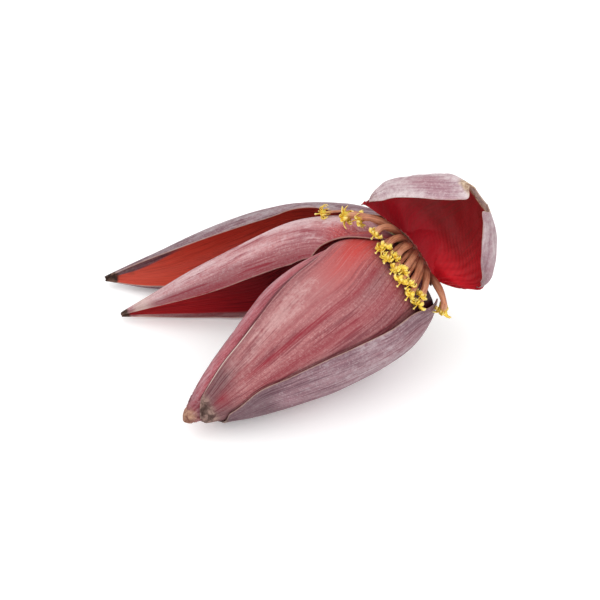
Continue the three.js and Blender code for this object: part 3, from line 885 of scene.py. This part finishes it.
def lobe(end, direction, aside, start, length, curl, width, twist):
    """A lobe at a flower's mouth: a flat cupped strip that leaves along the flower, curls
    outward by an arc and twists a little, with a frilled edge."""
    rows, sides = LOBE_GRID
    s = np.linspace(0, 1, rows)[:, None]
    bend = curl * s
    forth, out = length * np.sin(bend) / curl, length * (1 - np.cos(bend)) / curl
    middle = end + direction * forth + aside * (start + out)
    across = np.cross(direction, aside)
    normal = aside * np.cos(bend) - direction * np.sin(bend)
    across = across * np.cos(twist * s) + normal * np.sin(twist * s)
    normal = unit(np.cross(across, np.gradient(middle, axis=0)))
    angle = turns(sides)
    frill = 1 + LOBE["frill"] * np.sin(LOBE["frills"] * s + twist)
    wide = width * np.sqrt(np.maximum(1 - s ** 3, 0.03)) * frill
    flat = LOBE["thick"] * np.maximum(1 - s * 0.5, 0.3)
    x, y = wide * np.cos(angle), flat * np.sin(angle)
    y = y + LOBE["cupped"] * (x / width) ** 2
    return middle[:, None] + x[..., None] * across[:, None] + y[..., None] * normal[:, None]


def flower(path, radius, style, clear, chance):
    """One flower: its tube, and apart from that its lobes and its style with a knob.  Each
    lobe's place, length, curl, width and twist are drawn from the ranges in LOBE."""
    rows, sides = TUBE_GRID
    u = np.linspace(0, 1, rows)
    points = path(u * TUBE["mouth"])
    turn = chance.uniform(0, 2 * np.pi)
    bumps = 1 + TUBE["bump_height"] * np.sin(chance.uniform(*TUBE["bumps"]) * u + turn)
    shade = chance.uniform(*TUBE["shade"]) * (1 - u)
    wide = radius * spline(TUBE["outline"], u) * bumps
    body = tube(points, wide, sides, TUBE["rib_height"], turn), {"along": u, "shade": shade}

    direction, sideways, upward = (way[-1] for way in frames(points))
    end = points[-1] - direction
    reach = np.linalg.norm(path(np.array([1.0]))[0] - points[-1])
    tips = []
    for k in range(LOBE["count"]):
        angle = 2 * np.pi * (k + chance.uniform(*LOBE["aside"])) / LOBE["count"] + turn
        aside = np.cos(angle) * sideways + np.sin(angle) * upward
        start = radius * chance.uniform(*LOBE["start"])
        length = (reach + LOBE["past_mouth"] * radius) * chance.uniform(*LOBE["length"])
        curl = chance.uniform(*LOBE["curl"])
        width = radius * chance.uniform(*LOBE["width"])
        twist = chance.uniform(*LOBE["twist"])
        rings = lobe(end, direction, aside, start, length, curl, width, twist)
        tips.append((pushed_clear(rings, clear, 0), {"along": np.linspace(0, 1, len(rings))}))

    rows, sides = STYLE_GRID
    s = np.linspace(0, 1, rows)
    sway = sideways * chance.uniform(-1, 1) + upward * chance.uniform(-1, 1)
    straight = direction * (s * (reach + style))[:, None]
    points = end + straight + sway * (style * STYLE["sway"] * s ** 2)[:, None]
    knob = STYLE["radius"] + STYLE["knob"] * bell(s, STYLE["knob_at"], STYLE["knob_length"])
    knob[-1] *= STYLE["blunt"]
    tips.append((tube(pushed_clear(points, clear, 0), knob, sides), {"along": s}))
    return body, tips


def cushion(hand):
    """The curved cushion on the stalk that a hand of flowers grows from."""
    rows, sides = CUSHION_GRID
    u = np.linspace(0, 1, rows)
    size = lerp(CUSHION["ends"], 1, np.sqrt(np.sin(np.pi * u)))
    size = size * (1 + CUSHION["lump_height"] * np.sin(2 * np.pi * CUSHION["lumps"] * u))
    size = size[:, None]
    angle = turns(sides)
    shift = CUSHION["wide"] * size * np.sin(angle) / bud_length
    rise = CUSHION["high"] * size * np.cos(angle)
    phi = lerp(hand["from"], hand["to"], u)[:, None]
    rings = bud_point(hand["t"] + shift, phi, CUSHION["radius"] + rise)
    return rings, {"along": 0.1, "shade": 0.8}


def hand_pieces(node, hand, flowers, seed):
    """A hand's tubes with their cushion, and its yellow lobes and styles, as two pieces.
    Each flower is (path, radius, the style's length)."""
    chance = np.random.default_rng(seed)
    tubes, tips = [cushion(hand)], []
    for one in flowers:
        body, more_tips = flower(*one, hand["clear"], chance)
        tubes.append(body)
        tips += more_tips
    solids_piece(node + "_tubes", node, FLOWER_LOOK, tubes)
    solids_piece(node + "_tips", node, TIP_LOOK, tips)


# ---- the heart and the stalk ---------------------------------------------------------

def heart_solid():
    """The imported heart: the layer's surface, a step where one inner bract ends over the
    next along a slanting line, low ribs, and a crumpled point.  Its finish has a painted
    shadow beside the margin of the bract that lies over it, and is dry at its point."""
    rows, sides = HEART_GRID
    t = lerp(HEART["from"], HEART["to"], eased(rows))
    t, phi = np.meshgrid(t, turns(sides, 360), indexing="ij")
    turned = (phi - HEART["step_at"] - HEART["step_slant"] * t) % 360
    step = HEART["step"] * (1 - turned / 360) * smooth(turned, 0, 3) * smooth(t, 0.3, 0.6)
    ribs = ripple(t, phi / 360, 31, [(0.8, 40, 0.16), (1.2, 75, 0.1)]) * smooth(t, 0.05, 0.2)
    crumpled = smooth(t, 0.88, 0.95) * falling(t, 0.96, 0.995)
    crumpled = crumpled * ripple(t * 30, phi / 360, 32, [(1, 6, 0.9), (2, 11, 0.5)])
    radius = layer_radius(t, 1) + sag(t, phi) - step + ribs + crumpled
    rounding = 1 - smooth(t, HEART["round_from"], HEART["round_to"])
    rings = bud_point(t, phi, radius * np.sqrt(np.clip(rounding, 0.02, 1)))
    rings[..., 2] = np.maximum(rings[..., 2], 0)

    share = (t - TOP_BRACT["from"]) / (TOP_BRACT["to"] - TOP_BRACT["from"])
    above = spline(TOP_BRACT["left"], share) % 360
    dusk = 0.8 * patch(t, phi / 100, (0.7, 2.55), (0.35, 0.2)) + 0.5 * smooth(t, 0.85, 0.97)
    return rings, {
        # Painted shadow along the margin of the bract that lies over the heart.
        "painted_shadow": 0.8 * bell(phi, above - 6, 2.2) * falling(t, 0.9, 0.95),
        "red": 0.35 * smooth(phi - above, -22, -12) * falling(t, 0.6, 0.9),
        "blush": 0.25 * patch(t, phi / 100, (0.32, 2.9), (0.1, 0.3)),
        "dusk": dusk,
        "bloom": 0.36 + 0.2 * smooth(above - phi, 14, 24),
        "dry": 0.75 * smooth(t, 0.9, 1),
        "margin": 9,
    }


def stalk_solid():
    """The stalk from the middle of its cut end, over the rim, to where the bracts start:
    a dished cut, raised scars where old bracts fell, and low ribs."""
    rows, sides = STALK_GRID
    cut = np.linspace(0.02, 1, CUT_ROWS)
    t = lerp(STALK["from"], STALK["to"], np.linspace(0, 1, rows)[1:])
    radius = STALK["radius"] - (STALK["radius"] - STALK["cut"]) * smooth(-t, 0, STALK["length"])
    scars = sum(bell(t, at, STALK["scar_width"]) for at in STALK["scars"])
    dish = STALK["dish"] * (1 - cut ** 6) / bud_length
    body = np.concatenate([0 * cut, smooth(t, STALK["from"], STALK["from"] + 0.01)])[:, None]
    all_t = np.concatenate([STALK["from"] + dish, t])[:, None]
    radius = np.concatenate([STALK["cut"] * cut, radius + STALK["scar_height"] * scars])[:, None]
    phi = turns(sides, 360)[None, :]
    ribs = ripple(all_t, phi / 360, 33, [(1, 18, 0.35), (2, 40, 0.2)]) * body
    rough = ripple(radius / 40, phi / 360, 34, [(8, 6, 0.25), (16, 14, 0.15)]) * (1 - body)
    rings = bud_point(all_t + rough / bud_length, phi, radius + ribs)
    return rings, {"cut": np.concatenate([np.ones(CUT_ROWS), 0 * t]),
                   "scar": np.concatenate([np.zeros(CUT_ROWS), np.clip(scars, 0, 1)])}


# ---- the pieces' own patterns --------------------------------------------------------
# Each gives the kept fields' strengths over a bract, whose places and sizes are shares u
# and v.  A spot is (strength, u, v, size along u, size along v).

def band(u, v, path, width, low, high):
    """A soft band that follows a curve across the bract, between two places along it."""
    window = smooth(u, low, low + 0.08) * falling(u, high - 0.12, high)
    return bell(v, spline(path, u), width) * window


def spots(u, v, *rows):
    """The sum of soft round patches."""
    return sum(row[0] * patch(u, v, row[1:3], row[3:]) for row in rows)


def veins(u, v, seed, count, height):
    """Fine lengthwise ribs: waves across the bract at three finenesses."""
    waves = [(0.8, count * 0.35, height * 0.5), (1.1, count, height),
             (1.5, count * 2, height * 0.5)]
    return ripple(u, (v + 1) / 2, seed, waves)


def top_fields(u, v):
    """Red bands lengthwise, a warm broad end, painted shade over the half turned down, and a
    painted shadow beside the bract that overlaps it, under its flared root and under the flowers.
    """
    t, phi = closed_place(TOP_BRACT, u, v)
    share = (t - RIGHT_BRACT["from"]) / (RIGHT_BRACT["to"] - RIGHT_BRACT["from"])
    above = spline(RIGHT_BRACT["left"], share)
    warm = 1.1 * falling(u, 0.1, 0.44) * bell(v, -0.64, 0.3)
    red = (0.75 * band(u, v, [-0.17, -0.19, -0.23, -0.26, -0.29, -0.33, -0.4], 0.05, 0.1, 0.86)
           + 0.6 * band(u, v, [0.2, 0.12, 0.07, 0.06, 0.05, 0.1, 0.17], 0.1, 0.05, 0.9)
           + 0.35 * band(u, v, [0.4, 0.4, 0.38, 0.36, 0.35, 0.35, 0.35], 0.07, 0.05, 0.95)
           + 0.4 * band(u, v, [-0.45, -0.42, -0.42, -0.45, -0.5, -0.5, -0.5], 0.03, 0.25, 0.9)
           + spots(u, v, (0.8, 0.9, -0.3, 0.035, 0.2)))
    # The last term darkens the half turned down toward the floor: painted shade.  The rest greys
    # the bract's own colour toward the point, along the left margin and in patches.
    dusk = (spots(u, v, (0.55, 0.18, -0.12, 0.12, 0.13), (0.8, 0.87, -0.74, 0.08, 0.3))
            + 0.3 * falling(v, -0.97, -0.8) * smooth(u, 0.3, 0.6)
            + 0.8 * smooth(u, 0.8, 0.95) + 0.34 * smooth(v, -0.1, 0.3))
    pale = spots(u, v, (0.33, 0.58, -0.7, 0.24, 0.22), (0.08, 0.22, -0.1, 0.12, 0.16))
    return {
        "calm": spots(u, v, (0.8, 0.26, -0.6, 0.34, 0.36)),
        "blush": np.clip(warm, 0, 0.9),
        "red": np.clip(red, 0, 1),
        "dusk": np.clip(dusk, 0, 0.95),
        "bloom": 0.33 + pale - 0.34 * falling(u, 0.16, 0.4) + 0.14 * smooth(u, 0.7, 0.9),
        "hem": (0.75 * falling(v, -0.985, -0.96) * smooth(u, 0.62, 0.68)
                * falling(u, 0.9, 0.94)),
        # Painted shadow beside the right bract's margin, in the shade of its flared root, and
        # under the flowers.
        "painted_shadow": (0.6 * bell(phi, above - 0.8, 0.8)
                   + 0.85 * smooth(phi, 34, 52) * falling(t, 0.11, 0.2)
                   + 0.6 * falling(u, 0.07, 0.13) * smooth(v, -0.5, -0.2)),
        "dry": 0.85 * smooth(u, 0.9, 0.98),
    }


def right_fields(u, v):
    """Greyer toward the point, with a bare broad end."""
    spotted = spots(u, v, (0.4, 0.1, -0.9, 0.12, 0.3), (-0.5, 0.76, -0.7, 0.05, 0.2))
    return {
        "red": spots(u, v, (0.25, 0.2, -0.75, 0.2, 0.12), (0.3, 0.7, -0.2, 0.1, 0.25)),
        "bloom": (0.42 + spots(u, v, (0.14, 0.34, -0.7, 0.26, 0.3))
                  - 0.3 * falling(u, 0.06, 0.16)),
        "dusk": np.clip(0.26 + 0.72 * smooth(u, 0.62, 0.86) + spotted, 0, 0.95),
        "dry": 0.7 * smooth(u, 0.955, 1),
    }


def near_fields(u, v):
    """Red along the lower margin, warm at the root, deep within, with a dried point."""
    return {
        "blush": spots(u, v, (1, 0.15, 0.6, 0.09, 0.34)),
        "red": (0.85 * smooth(v, 0.74, 0.98) * falling(u, 0.85, 0.95)
                + spots(u, v, (0.3, 0.15, 0.6, 0.08, 0.3))
                + 0.45 * band(u, v, [0.75, 0.7, 0.6, 0.52, 0.5, 0.5], 0.05, 0.1, 0.7)),
        "bloom": (0.5 + 0.12 * smooth(u, 0.6, 0.9) - 0.3 * smooth(v, 0.7, 0.95)
                  + spots(u, v, (0.26, 0.36, 0.3, 0.3, 0.2), (-0.4, 0.14, 0.6, 0.09, 0.4))),
        "dusk": (0.4 * smooth(v, 0.66, 0.95) * falling(v, 0.97, 1)
                 + 0.35 * smooth(v, 0.66, 0.85) * smooth(u, 0.5, 0.72)
                 + 0.5 * falling(v, -0.88, -0.8)),
        "turned": 0.9 * falling(v, -0.88, -0.82) * smooth(u, 0.4, 0.6),
        "hem": 0.4 * smooth(u, 0.9, 0.94) * falling(u, 0.955, 0.97),
        "deep": 0.95 * falling(u, 0.45, 0.85),
        "bright": 0.3 * smooth(u, 0.7, 0.9),
        "dry": 0.95 * smooth(u, 0.965, 0.992),
    }


def far_fields(u, v):
    """Deep at the root and bright toward the point within, whose far side turns out."""
    folded = lerp(0.3, 0.02, smooth(u, 0.74, 1))
    return {
        "dusk": 0.25 + 0.3 * smooth(u, 0.6, 0.9),
        "turned": smooth(v - folded, -0.02, 0.05) * smooth(u, 0.72, 0.8),
        "bloom": 0.46 + spots(u, v, (0.12, 0.6, 0.8, 0.4, 0.3)),
        "deep": 0.6 * falling(u, 0.25, 0.5),
        "bright": 0.35 * smooth(u, 0.5, 0.85),
        "dry": 1.1 * smooth(u, 0.945, 0.98) + spots(u, v, (0.45, 0.92, 0.2, 0.03, 0.6)),
    }


def hood_fields(u, v):
    """Pale without and deep red within, lighter near the root and with a painted sheen over the
    folds and wrinkles, with a dried spout.
    """
    # Painted sheen: the second patch and the wrinkles lighten the inner red; the first patch
    # lightens it near the root.
    bright = spots(u, v, (0.9, 0.12, 0.42, 0.13, 0.26), (0.85, 0.38, 0.24, 0.2, 0.22))
    return {
        "red": spots(u, v, (0.22, 0.55, -0.78, 0.16, 0.1)),
        "bloom": 0.6 - spots(u, v, (0.24, 0.62, -0.85, 0.14, 0.2)) - 0.06 * smooth(v, 0.4, 0.6),
        "dusk": 0.42 * smooth(v, 0.4, 0.7) + 0.4 * smooth(u, 0.93, 0.97),
        "deep": (0.9 * smooth(u, 0.2, 0.4)
                 * (1 - 0.5 * smooth(v, 0.1, 0.35) * falling(u, 0.5, 0.8))),
        "bright": np.clip(bright + 0.4 * hood_wrinkles(u, v), 0, 1),
        "dry": (spots(u, v, (0.85, 0.9, -0.9, 0.08, 0.2)) + 0.5 * smooth(u, 0.9, 0.96)
                + 0.35 * smooth(u, 0.93, 0.95) * falling(u, 0.95, 0.965)),
        "turned": smooth(u, 0.94, 0.952),
    }


def smooth_within(u, v):
    """No relief on the inner face."""
    return 0 * u


def hood_wrinkles(u, v):
    """Fine wavy wrinkles that cross the right of the inner face slantwise."""
    phase = 2 * np.pi * HOOD_FOLDS["wrinkles"] * (u + v) + 1.5 * np.sin(14 * (v - u))
    return np.sin(phase) * patch(u, v, (0.44, 0.22), (0.24, 0.24))


def hood_folds(u, v):
    """The inner face's relief: lengthwise folds to its right, the wrinkles and low veins."""
    folds = np.sin(HOOD_FOLDS["count"] * np.pi * v + 2.5 * np.sin(5 * u + 2 * v))
    strength = smooth(v, -0.1, 0.25) * (1 - smooth(u, 0.75, 0.92))
    return (HOOD_FOLDS["height"] * folds * strength + HOOD_FOLDS["depth"] * hood_wrinkles(u, v)
            + veins(u, v, 25, 70, 0.12) * (1 - smooth(u, 0.8, 0.95)))


# ---- the pieces ----------------------------------------------------------------------

def closed_waves(seed):
    """The broad waves of a bract closed on the bud."""
    return lambda u, v: ripple(u, v, seed, [(2, 1.5, 0.16), (5, 4, 0.1)])


def boat_waves(seed):
    """The broad waves of a lifted bract, which start past its root."""
    return lambda u, v: ripple(u, v, seed, [(2, 1.5, 0.3), (5, 4, 0.12)]) * smooth(u, 0.1, 0.4)


def hood_waves(u, v):
    """The hood's broad waves, which end before its spout."""
    waves = ripple(u, v, 15, [(1.5, 1.5, 0.4), (4, 5, 0.2)])
    return waves * (1 - smooth(u, 0.75, 0.92))


def hood_veins(u, v):
    return veins(u, v, 28, 70, 0.14) * (1 - smooth(u, 0.8, 0.95))


BUD_MIDDLE = spline([BUD_BASE, BUD_TIP], 0.45)
HOOD_MIDDLE = HOOD["at"] + unit(HOOD["out"]) * HOOD["hollow"] + vec(0, 0, HOOD["hollow_rise"])

sheet_piece("bract_top", LOOKS["bract_top_skin"], BRACT_GRID,
            partial(closed_bract, TOP_BRACT), BUD_MIDDLE, closed_waves(11),
            partial(veins, seed=21, count=60, height=0.14), smooth_within, top_fields)
sheet_piece("bract_right", LOOKS["bract_right_skin"], BRACT_GRID,
            partial(closed_bract, RIGHT_BRACT), BUD_MIDDLE, closed_waves(12),
            partial(veins, seed=22, count=60, height=0.16), smooth_within, right_fields)
sheet_piece("bract_side_near", LOOKS["bract_near_skin"], BRACT_GRID,
            partial(boat_bract, NEAR_BRACT), spline(NEAR_BRACT["line"], 0.5), boat_waves(13),
            partial(veins, seed=23, count=60, height=0.18),
            partial(veins, seed=26, count=45, height=0.14), near_fields)
sheet_piece("bract_side_far", LOOKS["bract_far_skin"], BRACT_GRID,
            partial(boat_bract, FAR_BRACT), spline(FAR_BRACT["line"], 0.5), boat_waves(14),
            partial(veins, seed=24, count=55, height=0.16),
            partial(veins, seed=27, count=45, height=0.14), far_fields)
sheet_piece("bract_hood", LOOKS["bract_hood_skin"], HOOD_GRID,
            hood_bract, HOOD_MIDDLE, hood_waves, hood_veins, hood_folds, hood_fields)

solids_piece("inner_bud_heart", "inner_bud", LOOKS["inner_bud_skin"],
             [heart_solid()])
solids_piece("stalk_body", "stalk", STALK_LOOK, [stalk_solid()])

hood_flowers = [(bud_path(place, HOOD_HAND["t"], row["root"]), row["radius"], place[5])
                for row, key in ((LOWER_FLOWER, "lower"), (UPPER_FLOWER, "upper"))
                for place in HOOD_HAND[key]]
hand_pieces("flowers_hood", HOOD_HAND, hood_flowers, 41)
far_flowers = [(back_path(place), radius, FAR_HAND["style"] * radius)
               for place, radius in zip(FAR_HAND["flowers"], FAR_HAND["radii"])]
hand_pieces("flowers_far", FAR_HAND, far_flowers, 42)


# ---- floor, light and camera -----------------------------------------------------------

FLOOR = {"reach": 4.0, "depth": -0.0004, "white": 0.98, "rough": 0.9, "glow": 0.15}
SKY = 0.95
LIGHTS = {
    "key": {"at": (-0.6, -0.4, 1.5), "toward": (0, 0, 0.03), "size": 2.2, "power": 7.5,
            "colour": (1, 0.99, 0.97)},
    "fill": {"at": (0.9, -0.9, 0.9), "toward": (0, 0, 0.04), "size": 1.2, "power": 4,
             "colour": (1, 1, 1)},
}
CAMERA_AT = vec(8.3, -1041.1, 850.7)
TARGET = vec(8.3, -16.7, 50.3)
LENS = 105.3
SENSOR = 36
WHITE = (1, 1, 1, 1)


def staged(name, data, place=(0, 0, 0), target=None):
    """A floor, lamp or camera put in the scene, turned to look at a target."""
    item = bpy.data.objects.new(name, data)
    bpy.context.scene.collection.objects.link(item)
    item.location = place
    if target is not None:
        way = Vector(target) - Vector(place)
        item.rotation_euler = way.to_track_quat("-Z", "Y").to_euler()
    return item


def floor_mesh():
    """A wide square, white and giving off a little light of its own."""
    material, _, shader = shader_of("floor_white")
    shader.inputs["Base Color"].default_value = (*[FLOOR["white"]] * 3, 1)
    shader.inputs["Roughness"].default_value = FLOOR["rough"]
    shader.inputs["Emission Color"].default_value = WHITE
    shader.inputs["Emission Strength"].default_value = FLOOR["glow"]
    mesh = bpy.data.meshes.new("floor")
    corners = [(-1, -1), (1, -1), (1, 1), (-1, 1)]
    corners = [(FLOOR["reach"] * x, FLOOR["reach"] * y, FLOOR["depth"]) for x, y in corners]
    mesh.from_pydata(corners, [], [(0, 1, 2, 3)])
    mesh.materials.append(material)
    return mesh


floor = staged("floor", floor_mesh())
for name, lamp in LIGHTS.items():
    light = bpy.data.lights.new(name, "AREA")
    light.shape = "DISK"
    light.size = lamp["size"]
    light.energy = lamp["power"]
    light.color = lamp["colour"]
    staged(name, light, lamp["at"], lamp["toward"])

scene = bpy.context.scene
scene.view_settings.view_transform = "Standard"
scene.world = bpy.data.worlds.new("studio")
scene.world.use_nodes = True
sky = scene.world.node_tree.nodes["Background"].inputs
sky["Color"].default_value = WHITE
sky["Strength"].default_value = SKY
scene.camera = staged("camera", bpy.data.cameras.new("camera"), CAMERA_AT * MM, TARGET * MM)
scene.camera.data.sensor_width = SENSOR
scene.camera.data.lens = LENS
